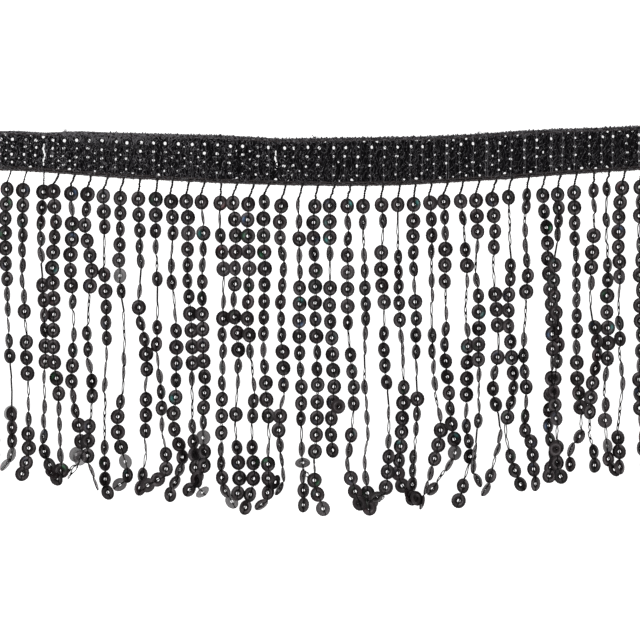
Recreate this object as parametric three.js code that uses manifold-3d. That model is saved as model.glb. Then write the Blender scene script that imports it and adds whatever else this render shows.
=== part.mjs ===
// Sequin fringe trim: a knitted band with a comb of sequin strings along its
// lower edge. The trim lies flat, face up, on the surface.
// Millimetres. X runs along the trim, +Y from the string tips to the band,
// +Z up. The origin is the middle of the trim's outline, on the surface.
import * as THREE from 'three';
import { mergeVertices } from 'three/addons/utils/BufferGeometryUtils.js';
import Module from 'manifold-3d';

const wasm = await Module();
wasm.setup();

// ---- named sizes -----------------------------------------------------------
const BAND_THICK = 1.6;       // knitted band with its sequins
const CORD_WIDE = 1.2;        // selvedge cord that closes the knitting
const CORD_THICK = 1.6;
const GAP = 0.3;              // between the band's cloth and the cord
const PITCH = 6.736;          // string to string along the cord
const FIRST_ROOT = -142.15;   // root of the first string
const THREAD = 0.8;           // bare twisted thread at the top of a string
const FIRST_SEQUIN = 8.2;     // selvedge to the middle of a string's first sequin
const STRING_WIDE = 4.0;      // string of sequins, turned this way and that
const STRING_THICK = 3.0;
const SHOULDER = 3.0;         // thread widens to the first sequin over this
const TIP_ROUND = 2.4;        // the last sequin beyond the tip point
const LINE_FIRST = 18.5;      // the strings' sway is given on lines at these
const LINE_STEP = 16.63;      // depths below the datum, the selvedge's low point
const MIDDLE_X = 0.0;         // middle of the trim's outline, seen from the datum
const MIDDLE_Y = -56.14;

// ---- the band's outline, a row for each station along it -------------------
// top and low are the heights of its two edges above the datum.
const BAND = [
  { x: -144.6, top: 22.3, low: 6.9 },
  { x: -125.0, top: 22.5, low: 6.3 },
  { x: -114.6, top: 21.8, low: 5.7 },
  { x: -100.0, top: 22.4, low: 4.6 },
  { x: -83.3, top: 21.7, low: 3.3 },
  { x: -66.7, top: 21.3, low: 2.5 },
  { x: -41.7, top: 20.7, low: 1.2 },
  { x: -16.6, top: 19.3, low: 0.4 },
  { x: 8.3, top: 19.6, low: 0.0 },
  { x: 33.4, top: 20.0, low: 0.3 },
  { x: 50.0, top: 20.4, low: 1.2 },
  { x: 66.7, top: 21.3, low: 2.2 },
  { x: 83.3, top: 22.5, low: 3.3 },
  { x: 100.0, top: 23.3, low: 4.6 },
  { x: 116.7, top: 23.8, low: 5.7 },
  { x: 133.3, top: 24.5, low: 6.7 },
  { x: 144.6, top: 24.9, low: 7.2 },
];

// ---- the strings, a row for each, left to right ----------------------------
// first: sway of the first sequin from the string's own root; a to f: sway on
// the six lines; bx, by: where its end bends, sway and depth; tx, ty: its tip.
const STRING_COLUMNS =
  ['first', 'a', 'b', 'c', 'd', 'e', 'f', 'bx', 'by', 'tx', 'ty'];
const STRINGS = [
  [-0.4, -0.3, 0.2, 0.6, 0.3, 0.8, 1.3, 1.5, 111.8, 0.4, 117.8],
  [-1.5, -2.0, -2.4, -1.8, -1.1, 0.2, 0.8, 0.6, 110.4, 1.7, 118.3],
  [-1.6, -2.4, -1.8, -1.2, -0.7, -0.4, 0.2, 0.1, 112.1, -2.2, 116.2],
  [-1.7, -2.0, -1.9, -0.9, -0.4, 0.5, 0.6, 0.9, 110.0, -1.7, 120.0],
  [0.0, -1.0, -0.6, 0.4, 0.8, 0.4, 0.2, 1.8, 117.1, 5.6, 122.1],
  [-2.6, -1.6, -2.9, -2.2, -2.5, -0.6, 0.1, 0.7, 112.1, 1.2, 118.7],
  [-1.8, -1.4, -2.2, -1.0, -0.9, -1.4, 1.7, 1.3, 112.9, -2.4, 118.7],
  [-1.8, -2.5, -0.2, -1.5, -1.5, 0.2, -0.9, -1.5, 112.9, 1.7, 124.2],
  [-1.9, -1.6, -1.8, -0.7, -0.6, -1.2, -1.4, -1.1, 122.5, 0.1, 128.0],
  [-1.6, -1.6, -2.0, -0.4, 0.0, -0.6, -2.8, 1.5, 120.4, -1.8, 124.6],
  [-0.8, -0.4, 0.2, -0.6, 2.4, 2.4, 2.1, 2.0, 114.2, -0.2, 126.3],
  [-0.1, -0.4, 0.1, 0.4, 0.1, 1.9, 2.5, 3.9, 118.7, -3.6, 125.0],
  [-0.6, 0.0, -0.6, 1.0, 1.5, 1.3, 0.6, 4.1, 113.7, -1.0, 128.8],
  [-1.0, -0.3, -0.6, 0.4, 1.4, 1.3, 1.7, 3.3, 122.9, 5.8, 128.0],
  [-1.6, -0.6, -1.0, -1.3, -0.8, -0.1, -0.9, -0.3, 116.7, -6.6, 126.7],
  [-0.4, -0.4, 0.8, 0.8, 0.6, 0.4, 0.1, 0.5, 122.9, 4.4, 131.7],
  [-1.7, -0.8, -0.8, -1.5, 0.4, 0.0, -0.8, 0.8, 122.1, 0.2, 128.3],
  [-2.1, -2.5, -1.8, -2.5, -1.5, 0.1, -0.8, -0.1, 122.5, -3.4, 134.2],
  [-2.2, -2.6, -2.2, -2.4, -2.6, -1.6, -0.5, -0.9, 128.0, -3.4, 133.0],
  [-1.8, -2.7, -1.0, -2.2, -1.6, -1.0, -3.0, -1.2, 120.9, -2.9, 126.3],
  [-1.5, -1.5, -1.1, -1.1, -1.1, -0.3, -0.5, 0.6, 127.1, 0.6, 133.0],
  [-1.6, -2.2, -1.2, -1.4, -0.7, -0.4, -0.8, -1.6, 122.9, 2.1, 134.6],
  [-2.0, -2.0, -1.8, -1.9, -0.9, -0.2, -1.7, -1.2, 105.3, -1.0, 110.4],
  [-1.3, -1.3, -1.3, -1.3, -0.4, 1.2, 0.5, -1.1, 116.2, 3.5, 132.5],
  [-1.4, -1.4, -1.0, -0.6, -0.9, -0.8, 0.3, -0.9, 116.2, 0.9, 134.6],
  [-0.6, 0.0, -1.0, 0.5, 0.3, 1.7, 2.4, 1.1, 125.8, -2.9, 130.0],
  [-0.6, -0.6, -0.3, 0.0, 1.0, 1.8, 1.1, -0.5, 120.0, 1.2, 125.0],
  [-0.7, -1.1, -0.7, 0.1, 0.1, 0.6, 0.1, -1.8, 125.0, -0.9, 130.8],
  [-0.8, 0.0, 0.0, 0.0, 0.4, 1.5, 2.7, 3.1, 108.8, 0.0, 126.3],
  [-1.7, -1.1, -1.1, -0.8, -1.2, 0.3, 1.5, 2.9, 111.7, -4.4, 125.8],
  [-1.4, -0.1, 1.2, 0.7, 1.5, 1.1, 0.9, 2.4, 112.9, -2.2, 131.3],
  [-1.8, -1.1, -1.7, -0.6, -0.8, -0.6, -1.1, -2.9, 116.7, 1.7, 126.3],
  [-1.5, -0.7, -1.2, 0.1, 0.9, -1.5, 1.5, -2.5, 121.2, -4.6, 126.7],
  [-1.6, -1.1, -0.8, -1.9, -0.7, 0.5, -2.8, 0.9, 118.7, 3.4, 124.4],
  [-0.8, -1.6, -0.6, -1.2, -2.3, -1.2, -1.8, 0.5, 105.9, 2.6, 124.2],
  [-0.8, 0.5, 1.4, 2.7, 3.0, 2.3, 1.6, 3.5, 112.5, 1.8, 120.9],
  [-1.4, -1.3, -3.0, -2.5, -1.0, -3.2, -1.7, -1.9, 115.4, -0.3, 121.2],
  [-1.4, -1.0, -0.6, -0.3, -0.5, 0.3, 0.9, 2.1, 106.3, -3.0, 116.2],
  [-0.2, 0.3, -1.0, -1.0, 1.7, -1.0, -1.5, 0.2, 110.9, 0.2, 116.7],
  [-1.1, -1.3, -0.7, -1.1, -0.8, -2.1, -1.6, -2.1, 106.3, -0.1, 113.7],
  [-1.6, -3.2, -2.7, -2.9, -2.6, -1.6, -3.4, -3.2, 106.3, -3.7, 116.7],
  [-1.8, -1.5, -1.7, -1.8, -1.6, -2.2, -1.5, -1.5, 106.3, -1.5, 115.0],
  [-1.5, -1.1, -2.0, -1.4, -0.8, -1.2, -1.9, -1.3, 107.2, 0.4, 115.3],
].map((row) => Object.fromEntries(STRING_COLUMNS.map((name, i) => [name, row[i]])));

// ---- helpers ---------------------------------------------------------------
// Height of one of the band's edges at x, straight between its stations.
function edgeAt(x, edge) {
  let i = 0;
  while (i < BAND.length - 2 && BAND[i + 1].x < x) i += 1;
  const a = BAND[i];
  const b = BAND[i + 1];
  return a[edge] + (b[edge] - a[edge]) * (x - a.x) / (b.x - a.x);
}

// A closed solid through cross-sections. Each is the point and the width and
// thickness there; it is flat below, and its upper corners are cut away.
function stringSolid(sections) {
  const verts = [];
  const tris = [];
  const profile = (w, t) => [
    [-0.5 * w, 0], [0.5 * w, 0], [0.5 * w, 0.55 * t],
    [0.27 * w, t], [-0.27 * w, t], [-0.5 * w, 0.55 * t],
  ];
  const n = 6;
  sections.forEach((s, i) => {
    const a = sections[Math.max(0, i - 1)];
    const b = sections[Math.min(sections.length - 1, i + 1)];
    const len = Math.hypot(b.x - a.x, b.y - a.y);
    const side = [-(b.y - a.y) / len, (b.x - a.x) / len];
    profile(s.w, s.t).forEach(([u, z]) => {
      verts.push(s.x - side[0] * u, s.y - side[1] * u, z);
    });
  });
  for (let i = 0; i + 1 < sections.length; i += 1) {
    for (let j = 0; j < n; j += 1) {
      const a = i * n + j;
      const b = i * n + (j + 1) % n;
      tris.push(a, b, b + n, a, b + n, a + n);
    }
  }
  const last = (sections.length - 1) * n;
  for (let j = 1; j + 1 < n; j += 1) {
    tris.push(0, j + 1, j);
    tris.push(last, last + j, last + j + 1);
  }
  return toManifold(verts, tris);
}

function toManifold(verts, tris) {
  let volume = 0;
  const p = (i) => new THREE.Vector3(verts[3 * i], verts[3 * i + 1], verts[3 * i + 2]);
  for (let i = 0; i < tris.length; i += 3) {
    volume += p(tris[i]).dot(p(tris[i + 1]).cross(p(tris[i + 2])));
  }
  const facing = volume > 0 ? tris : tris.slice().reverse();
  return new wasm.Manifold(new wasm.Mesh({
    numProp: 3,
    vertProperties: new Float32Array(verts),
    triVerts: new Uint32Array(facing),
  }));
}

function toGeometry(manifold) {
  const mesh = manifold.getMesh();
  const g = new THREE.BufferGeometry();
  g.setAttribute('position', new THREE.BufferAttribute(new Float32Array(mesh.vertProperties), 3));
  g.setIndex(new THREE.BufferAttribute(new Uint32Array(mesh.triVerts), 1));
  g.computeVertexNormals();
  return g;
}

// A strip of the given thickness between an upper and a lower line.
function strip(upper, lower, thick) {
  const shape = new THREE.Shape();
  upper.forEach(([x, y], i) => (i ? shape.lineTo(x, y) : shape.moveTo(x, y)));
  lower.slice().reverse().forEach(([x, y]) => shape.lineTo(x, y));
  shape.closePath();
  const g = new THREE.ExtrudeGeometry(shape, { depth: thick, bevelEnabled: false });
  g.deleteAttribute('normal');
  g.deleteAttribute('uv');
  return mergeVertices(g, 1e-4);
}

// ---- the band --------------------------------------------------------------
const bandTop = BAND.map((s) => [s.x, s.top]);
const bandLow = BAND.map((s) => [s.x, s.low + CORD_WIDE + GAP]);
const bandGeometry = strip(bandTop, bandLow, BAND_THICK);
bandGeometry.computeVertexNormals();

// ---- the fringe: selvedge cord and strings, one comb -----------------------
const cordGeometry = strip(
  BAND.map((s) => [s.x, s.low + CORD_WIDE]),
  BAND.map((s) => [s.x, s.low]),
  CORD_THICK,
);
let comb = toManifold(
  Array.from(cordGeometry.attributes.position.array),
  Array.from(cordGeometry.index.array),
);

STRINGS.forEach((s, i) => {
  const root = FIRST_ROOT + i * PITCH;
  const low = edgeAt(root, 'low');
  const firstY = low - FIRST_SEQUIN;
  const full = { w: STRING_WIDE, t: STRING_THICK };
  const thin = { w: THREAD, t: THREAD };
  const along = (f) => root + s.first * f;
  const sections = [
    { x: root, y: low + 0.5 * CORD_WIDE, ...thin },
    { x: along(0.6), y: firstY + SHOULDER, ...thin },
    { x: along(0.85), y: firstY + 0.5 * SHOULDER, w: 0.85 * STRING_WIDE, t: 0.85 * STRING_THICK },
  ];
  ['a', 'b', 'c', 'd', 'e', 'f'].forEach((line, j) => {
    sections.push({ x: root + s[line], y: -(LINE_FIRST + j * LINE_STEP), ...full });
  });
  sections.push({ x: root + s.bx, y: -s.by, ...full });
  sections.push({ x: root + s.tx, y: -s.ty, ...full });
  const len = Math.hypot(s.tx - s.bx, s.ty - s.by);
  sections.push({
    x: root + s.tx + TIP_ROUND * (s.tx - s.bx) / len,
    y: -s.ty - TIP_ROUND * (s.ty - s.by) / len,
    w: 0.5 * STRING_WIDE,
    t: 0.5 * STRING_THICK,
  });
  comb = comb.add(stringSolid(sections));
});

// ---- the trim --------------------------------------------------------------
const yarn = new THREE.MeshStandardMaterial({ color: 0x262426, roughness: 0.95, metalness: 0 });
const sequins = new THREE.MeshStandardMaterial({ color: 0x1b1a1b, roughness: 0.28, metalness: 0 });

const header = new THREE.Mesh(bandGeometry, yarn);
header.name = 'header';
const fringe = new THREE.Mesh(toGeometry(comb), sequins);
fringe.name = 'fringe';

const trim = new THREE.Group();
trim.add(header, fringe);
trim.position.set(-MIDDLE_X, -MIDDLE_Y, 0);
trim.updateMatrixWorld(true);

export default trim;
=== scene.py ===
# Sequin fringe trim lying flat on a pale table: a knitted band with ring
# sequins worked in, and strings of ring sequins along its lower edge.
# Sizes in the tables are millimetres; the scene is in metres.
import bpy
import math
import numpy as np
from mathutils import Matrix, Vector


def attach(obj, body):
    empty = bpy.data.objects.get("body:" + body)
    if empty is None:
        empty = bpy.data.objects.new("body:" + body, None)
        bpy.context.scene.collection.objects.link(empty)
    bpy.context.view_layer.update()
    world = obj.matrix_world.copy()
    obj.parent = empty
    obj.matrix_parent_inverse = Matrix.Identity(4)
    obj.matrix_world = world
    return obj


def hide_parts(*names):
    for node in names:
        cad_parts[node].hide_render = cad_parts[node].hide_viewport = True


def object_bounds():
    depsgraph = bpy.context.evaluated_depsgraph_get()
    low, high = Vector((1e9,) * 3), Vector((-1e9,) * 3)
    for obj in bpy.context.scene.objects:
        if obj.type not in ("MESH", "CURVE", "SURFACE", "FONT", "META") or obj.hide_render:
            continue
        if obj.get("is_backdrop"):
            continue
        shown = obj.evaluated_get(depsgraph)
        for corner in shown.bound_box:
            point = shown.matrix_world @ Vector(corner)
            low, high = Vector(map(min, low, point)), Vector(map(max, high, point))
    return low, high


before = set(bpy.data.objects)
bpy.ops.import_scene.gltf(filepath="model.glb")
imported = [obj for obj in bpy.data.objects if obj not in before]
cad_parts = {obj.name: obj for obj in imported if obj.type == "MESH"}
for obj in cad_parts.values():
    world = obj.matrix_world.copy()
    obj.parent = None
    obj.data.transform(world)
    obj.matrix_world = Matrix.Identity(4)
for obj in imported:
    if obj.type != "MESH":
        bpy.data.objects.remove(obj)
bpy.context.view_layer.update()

MM = 0.001
MIDDLE_Y = 56.14         # datum (the selvedge's low point) above the origin
CORD_WIDE = 1.2          # selvedge cord
PITCH = 6.736            # string to string
FIRST_ROOT = -142.15
LINE_FIRST, LINE_STEP = 18.5, 16.63
SEQUIN_R = 3.24          # 6 mm sequins, a little over size
HOLE_R = 0.68
FILM = 0.09              # thickness of the sequins' film
THREAD_R = 0.20          # one of the two threads of a string

# ---- the band's edges, a row for each station: x, top, low ------------------
BAND = np.array([
    (-144.6, 22.3, 6.9), (-125.0, 22.5, 6.3), (-114.6, 21.8, 5.7),
    (-100.0, 22.4, 4.6), (-83.3, 21.7, 3.3), (-66.7, 21.3, 2.5),
    (-41.7, 20.7, 1.2), (-16.6, 19.3, 0.4), (8.3, 19.6, 0.0),
    (33.4, 20.0, 0.3), (50.0, 20.4, 1.2), (66.7, 21.3, 2.2),
    (83.3, 22.5, 3.3), (100.0, 23.3, 4.6), (116.7, 23.8, 5.7),
    (133.3, 24.5, 6.7), (144.6, 24.9, 7.2)])

# ---- the strings, a row for each, left to right -----------------------------
# first: sway of the first sequin from the string's own root; deep: how far it
# hangs below the selvedge; a to f: sway on the six lines; bx, by: sway and
# depth where the end bends; tx, ty: the tip; s4, s7, s10, s13, s16, s19: how
# far down the string from the first sequin its 4th, 7th and so on lie;
# turns: how far each sequin is turned about its thread, from F, face up, by
# f o e n i to -, on edge; h is tipped along the thread instead, a dot is a
# bare stretch of thread, and a colon one where its two threads are drawn tight.
STRINGS = [
    (-0.4, 8.2, -0.3, 0.2, 0.6, 0.3, 0.8, 1.3, 1.5, 111.8, 0.4, 117.8, 18.4, 36.8, 55.2, 73.6, 92.0, 110.4, "FfoFFeifFoFfn.eFFfoF"),
    (-1.5, 8.2, -2.0, -2.4, -1.8, -1.1, -0.6, -0.4, -0.6, 110.4, -1.0, 118.3, 18.5, 36.9, 55.4, 73.8, 92.3, 110.8, "FoeFFfFoeFFFnfFoeFFo"),
    (-1.6, 8.3, -2.4, -1.8, -1.2, -0.7, 0.3, 0.6, 0.4, 112.1, -1.8, 116.2, 18.1, 37.2, 56.6, 75.6, 93.6, 110.3, "fffFFffen-ef:::ffeen"),
    (-1.7, 8.4, -2.0, -1.9, -0.9, -0.4, 0.5, 0.6, 0.9, 110.0, -1.7, 120.0, 18.6, 37.7, 56.8, 76.2, 95.2, 113.5, "FFfoeeief.FFf.inFFFF"),
    (0.0, 8.7, -1.0, -0.6, 0.4, 0.8, 0.4, 0.3, 0.4, 110.8, 5.6, 122.1, 19.4, 38.9, 57.6, 77.0, 95.5, 114.3, "Foenn:FfeeFFn.nneofF"),
    (-2.6, 7.9, -1.6, -2.9, -2.2, -2.5, -0.6, 0.1, 0.7, 112.1, 1.2, 118.7, 19.2, 38.3, 58.0, 78.0, 97.1, 116.3, "FFfoFFFFFFFFFFnniiF"),
    (-1.8, 8.1, -1.4, -2.2, -1.0, -0.9, -1.4, 1.7, 2.2, 112.9, -2.4, 118.7, 19.3, 38.5, 59.1, 78.4, 97.1, 116.9, "FiFFFFFe.neFfneFFF."),
    (-1.8, 8.0, -2.5, -0.2, -1.5, -1.5, 0.2, -0.9, -1.5, 112.9, 1.7, 124.2, 19.5, 38.5, 58.2, 78.3, 97.0, 115.5, "FeFfFFF..eeioo.fFFi-"),
    (-1.9, 8.3, -1.6, -1.8, -0.7, -0.6, -1.2, -1.4, -1.1, 122.5, 0.1, 128.0, 19.4, 39.6, 59.3, 78.6, 97.9, 118.0, "FFf..fFfooi-i...efff"),
    (-1.6, 8.6, -1.6, -2.0, -0.4, 0.0, -0.6, -2.8, 1.5, 120.4, -1.8, 124.6, 19.5, 38.9, 55.8, 72.8, 91.3, 110.6, "FfefFfe:...i-.eFFFfoo"),
    (-0.8, 8.5, -0.4, 0.2, -0.6, 2.4, 2.4, 2.1, 2.0, 114.2, -0.2, 126.3, 19.9, 38.6, 58.9, 77.6, 97.1, 115.4, "Ffone:iFeoFf-fff-.of"),
    (-0.1, 8.4, -0.4, 0.1, 0.4, 0.1, 1.9, 2.5, 3.9, 118.7, -3.6, 125.0, 20.0, 39.9, 60.5, 80.5, 100.7, 118.3, "FFfn.o:.of-neoi-fFFF"),
    (-0.6, 9.1, 0.0, -0.6, 1.0, 1.5, 1.3, 0.6, 4.1, 113.7, -1.0, 128.8, 19.8, 40.7, 60.7, 81.7, 101.6, 118.0, "Ffo-no.-oFfoFFofoeef"),
    (-1.0, 8.7, -0.3, -0.6, 0.4, 1.4, 1.3, 1.7, 3.3, 122.9, 5.8, 128.0, 19.9, 39.8, 60.7, 80.7, 100.0, 116.2, "FFFfoeoFFFFn..noffoh"),
    (-1.6, 8.6, -0.6, -1.0, -1.3, -0.8, -0.1, -0.9, -0.3, 116.7, -6.6, 126.7, 19.6, 40.2, 59.6, 79.5, 98.2, 115.7, "FiFenoofFFFfffnFffof"),
    (-0.4, 8.7, -0.4, 0.8, 0.8, 0.6, 0.4, 0.1, 0.5, 122.9, 4.4, 131.7, 20.4, 41.3, 61.8, 81.7, 102.6, 120.1, "F-ofF.nFeennfffnefef"),
    (-1.7, 8.5, -0.8, -0.8, -1.5, 0.4, 0.0, -0.8, 0.8, 122.1, 0.2, 128.3, 20.4, 40.4, 61.3, 81.5, 101.9, 121.1, "FFFFfFnFFFen.F.oFFF"),
    (-2.1, 8.7, -2.5, -1.8, -2.5, -1.5, 0.1, -0.8, -0.1, 122.5, -3.4, 134.2, 19.9, 40.8, 61.4, 82.2, 101.2, 121.1, "FFFFFofFfe.noo.oFFff"),
    (-2.2, 7.6, -2.6, -2.2, -2.4, -2.6, -1.6, -0.5, -0.9, 128.0, -3.4, 133.0, 20.9, 41.4, 61.6, 82.3, 103.2, 121.0, "fFFFFffooneFFF.-FFfe"),
    (-1.8, 9.1, -2.7, -1.0, -2.2, -1.6, -1.0, -3.0, -1.2, 120.9, -2.9, 126.3, 19.9, 40.2, 60.8, 81.6, 99.9, 118.4, "FFfeeeoeeFFoiFFniin"),
    (-1.5, 8.6, -1.5, -1.1, -1.1, -1.1, -0.3, -0.5, 0.6, 127.1, 0.6, 133.0, 21.1, 41.3, 61.6, 82.7, 101.6, 118.8, "inFnnFFFFoefoo.nhnoo"),
    (-1.6, 9.1, -2.2, -1.2, -1.4, -0.7, -0.4, -0.8, -1.6, 122.9, 2.1, 134.6, 19.9, 40.1, 60.7, 81.4, 102.1, 119.9, "FFFoFFFfFeoFFFFF-FFF"),
    (-2.0, 8.6, -2.0, -1.8, -1.9, -0.9, -0.2, -1.7, -1.2, 105.3, -1.0, 110.4, 20.2, 41.4, 62.0, 82.1, 102.1, 102.1, "FFFe.FFffFFFFfff"),
    (-1.3, 9.0, -1.3, -1.3, -1.3, -0.4, 1.2, 0.5, -1.1, 116.2, 3.5, 132.5, 20.2, 41.6, 61.9, 82.3, 101.7, 119.2, "FnefFFFo.offf.fn-FFF"),
    (-1.4, 9.1, -1.4, -1.0, -0.6, -0.9, -0.8, 0.3, -0.9, 116.2, 0.9, 134.6, 20.1, 40.7, 58.8, 75.2, 94.3, 113.1, "Fe.nefoen-:.n-n--nnFF"),
    (-0.6, 8.5, 0.0, -1.0, 0.5, 0.3, 1.7, 2.4, 1.1, 125.8, -2.9, 130.0, 19.9, 40.6, 60.5, 80.7, 98.6, 117.8, "Fe.FFFF.ooff:-.nfFFo"),
    (-0.6, 8.4, -0.6, -0.3, 0.0, 1.0, 1.8, 1.1, -0.5, 120.0, 1.2, 125.0, 15.7, 34.3, 54.9, 70.0, 89.0, 106.6, "F:..eeoffn--.oFFFFfFF"),
    (-0.7, 8.8, -1.1, -0.7, 0.1, 0.1, 0.6, 0.1, -1.4, 124.0, -1.3, 130.2, 20.0, 40.6, 61.2, 81.0, 99.5, 116.4, "FFFoeiFfon-:Fen.eeoF"),
    (-0.8, 8.5, 0.0, 0.0, 0.0, 0.4, 1.5, 3.6, 1.1, 113.7, -4.2, 132.1, 20.4, 38.3, 55.2, 75.2, 94.8, 113.1, "Fooe.n-..eein.iFFfn--"),
    (-1.7, 8.3, -1.1, -1.1, -0.8, -1.2, 0.3, 1.5, 2.9, 111.7, -6.6, 126.5, 19.8, 39.7, 59.7, 79.8, 99.2, 116.3, "FenFFf.-eefffefFFn.o"),
    (-1.4, 8.7, -0.1, 1.2, 0.7, 1.5, 1.1, 0.9, 2.4, 112.9, -2.2, 131.3, 20.2, 39.9, 60.4, 80.7, 99.9, 119.0, "Fe.oFi..nFFFFneoF.fF"),
    (-1.8, 8.7, -1.1, -1.7, -0.6, -0.8, -0.6, -1.1, -2.9, 116.7, -1.0, 122.9, 19.3, 39.9, 59.9, 78.9, 98.1, 116.1, "FFFn.noFFFFn-ie:ine"),
    (-1.5, 8.7, -0.7, -1.2, 0.1, 0.9, -1.5, 1.5, -2.5, 121.2, -4.6, 126.7, 19.8, 39.4, 59.1, 79.0, 99.2, 116.2, "FFff..FFF.Fefo:-n.on"),
    (-1.6, 8.3, -1.1, -0.8, -1.9, -0.7, 0.5, -2.8, 0.9, 118.7, 3.4, 124.4, 17.0, 33.9, 53.6, 73.3, 91.9, 108.3, "F...:foffffFfooF..off"),
    (-0.8, 8.0, -1.6, -0.6, -1.2, -2.3, -1.2, -1.8, 0.5, 105.9, 2.6, 124.2, 14.4, 33.5, 53.2, 73.5, 92.0, 109.1, "ee.nnefF..neof-effffo"),
    (-0.8, 8.5, 0.5, 1.4, 2.7, 3.0, 2.3, 1.6, 3.5, 112.5, 1.8, 120.9, 20.0, 39.0, 57.8, 76.2, 95.9, 113.8, "FfFFFfFfFFfifFfoooFF"),
    (-1.4, 8.6, -1.3, -3.0, -2.5, -1.0, -3.2, -1.7, -1.9, 115.4, -0.3, 121.2, 16.8, 35.8, 55.8, 76.8, 93.5, 111.9, "Foon:FFFFeooffFf.FFF"),
    (-1.4, 8.2, -1.0, -0.6, -0.3, -0.5, 0.3, 1.7, -2.9, 110.4, -3.3, 116.2, 19.2, 38.7, 57.7, 77.4, 95.7, 114.7, "FFfoeeeneonFFFF.ene"),
    (-0.2, 8.0, 0.3, -1.0, -1.0, 1.7, -1.0, -1.5, 0.2, 110.9, 0.2, 116.7, 18.7, 38.5, 57.2, 74.3, 92.4, 109.2, "en.FFFn.:ffooFFf..oo"),
    (-1.1, 7.6, -1.3, -0.7, -1.1, -0.8, -2.1, -1.6, -0.6, 113.8, 1.8, 118.3, 19.3, 38.0, 57.7, 77.1, 96.4, 112.5, "e.e..ooFFFFfn.nF.efe"),
    (-1.6, 7.6, -3.2, -2.7, -2.9, -2.6, -1.6, -3.4, -3.2, 106.3, -2.6, 117.2, 18.5, 37.0, 56.3, 75.7, 93.2, 109.8, "FFFFFFf-.no.ni...ffo"),
    (-1.0, 7.8, -1.2, -1.1, -0.9, -0.8, -1.4, -0.4, -0.4, 106.3, -0.5, 115.0, 17.7, 36.5, 55.5, 74.0, 91.9, 108.6, "fef.eefoffeenFofnnen"),
    (-1.5, 8.2, -1.1, -2.0, -1.4, -0.8, -1.2, -1.9, -1.3, 107.2, 0.4, 115.3, 19.1, 38.1, 57.2, 76.3, 95.4, 114.4, "FFoeFFfFFonFFeFfFoF"),
]
TURN = {"F": 22, "f": 34, "o": 43, "e": 55, "n": 65, "i": 72, "-": 79, "h": 54}

# Sequins whose film is thinner and lets more light through: string, sequin,
# how much of the light from below comes through.
SMOKY = {(2, 18): 0.30, (2, 19): 0.38, (6, 17): 0.42, (9, 4): 0.10, (9, 5): 0.30, (9, 18): 0.34, (9, 20): 0.22,
         (11, 19): 0.10, (13, 2): 0.10, (13, 16): 0.06, (13, 19): 0.30, (14, 15): 0.28, (15, 4): 0.07,
         (15, 19): 0.30, (16, 4): 0.04, (17, 4): 0.08, (19, 2): 0.07, (19, 16): 0.12, (19, 18): 0.10,
         (20, 16): 0.22, (21, 19): 0.18, (23, 4): 0.08, (23, 6): 0.06, (23, 17): 0.06, (24, 20): 0.06,
         (25, 3): 0.07, (25, 6): 0.06, (25, 18): 0.08, (28, 0): 0.05, (29, 16): 0.25, (30, 0): 0.06,
         (32, 11): 0.05, (32, 18): 0.07, (32, 19): 0.20, (35, 6): 0.06, (36, 15): 0.10, (37, 17): 0.14,
         (39, 15): 0.13, (39, 17): 0.25, (40, 6): 0.05, (41, 19): 0.35}

# Sequins that have slipped to the string ends and lie over the others, or
# under them, a row for each: x, depth below the datum, turn, lean from the
# vertical, how much light comes through, whether under.
LOOSE = [
    (7.5, 92.1, 16, 0, 0, False), (-18.5, 123.6, 56, 20, 0, False), (18.8, 131.9, 12, 10, 0, False),
    (21.2, 131.8, 14, -10, 0, False), (36.9, 128.8, 56, -18, 0, False), (40.1, 130.3, 38, -25, 0, False),
    (97.9, 109.9, 24, 0, 0, False), (98.1, 115.2, 16, 10, 0, False), (-111.2, 120.0, 58, -60, 0, False),
    (-108.1, 118.9, 14, 0, 0, False), (-128.8, 94.9, 34, 15, 0.50, True), (-101.6, 112.2, 30, 10, 0.34, True),
    (-50.4, 113.1, 8, 0, 0, True)]

# Slack double threads, a row for each: from x, depth to x, depth.
SLACK = [(-100.0, 115.0, -105.0, 122.3), (26.9, 128.6, 24.6, 132.0), (-6.0, 119.0, -4.6, 122.6)]

# Sequins given a painted sheen, a coloured glint painted into the film's colour: string, sequin, sheen, bearing,
# strength.
PAINTED_SHEEN = [
    (2, 1, "green", 30, 0.7), (2, 3, "green", 190, 0.7), (5, 5, "teal", -40, 0.6), (5, 12, "green", 140, 0.6),
    (5, 18, "green", 50, 0.9), (6, 0, "blue", 20, 0.6), (6, 3, "blue", 90, 0.7), (12, 12, "teal", 200, 1.2),
    (14, 2, "teal", 180, 1.0), (15, 0, "red", -45, 0.8), (15, 3, "red", 110, 0.8), (17, 1, "blue", 175, 1.0),
    (17, 2, "green", 165, 0.9), (18, 3, "green", 215, 1.1), (18, 16, "green", 125, 0.9), (20, 6, "teal", 80, 1.1),
    (20, 7, "blue", -65, 0.9), (21, 17, "green", -45, 0.8), (22, 1, "teal", 190, 0.5), (22, 2, "teal", 215, 1.3),
    (23, 0, "teal", 35, 1.4), (26, 17, "teal", 120, 0.8), (27, 0, "teal", 30, 1.2), (29, 15, "teal", 45, 0.8),
    (30, 9, "teal", 200, 0.5), (31, 7, "teal", -40, 0.6), (35, 2, "green", -10, 1.0), (35, 9, "blue", 190, 0.8),
    (35, 15, "blue", 185, 0.8), (39, 7, "green", 150, 0.6), (39, 9, "teal", 10, 0.9), (40, 3, "blue", 60, 0.7),
    (40, 0, "red", 150, 0.4), (42, 4, "green", 120, 0.7),
]
# Colours of the painted sheen glints.
PAINTED_SHEEN_COLOURS = {"green": (0.03, 0.22, 0.09), "teal": (0.03, 0.27, 0.25),
          "blue": (0.06, 0.17, 0.36), "red": (0.17, 0.035, 0.040)}

rng = np.random.default_rng(41)


# ---- small tools ------------------------------------------------------------
def edge(x, column):
    return np.interp(x, BAND[:, 0], BAND[:, column])


def top_at(x):
    return edge(x, 1)


def low_at(x):
    return edge(x, 2)


def unit(v):
    return v / np.maximum(np.linalg.norm(v, axis=-1, keepdims=True), 1e-9)


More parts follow.
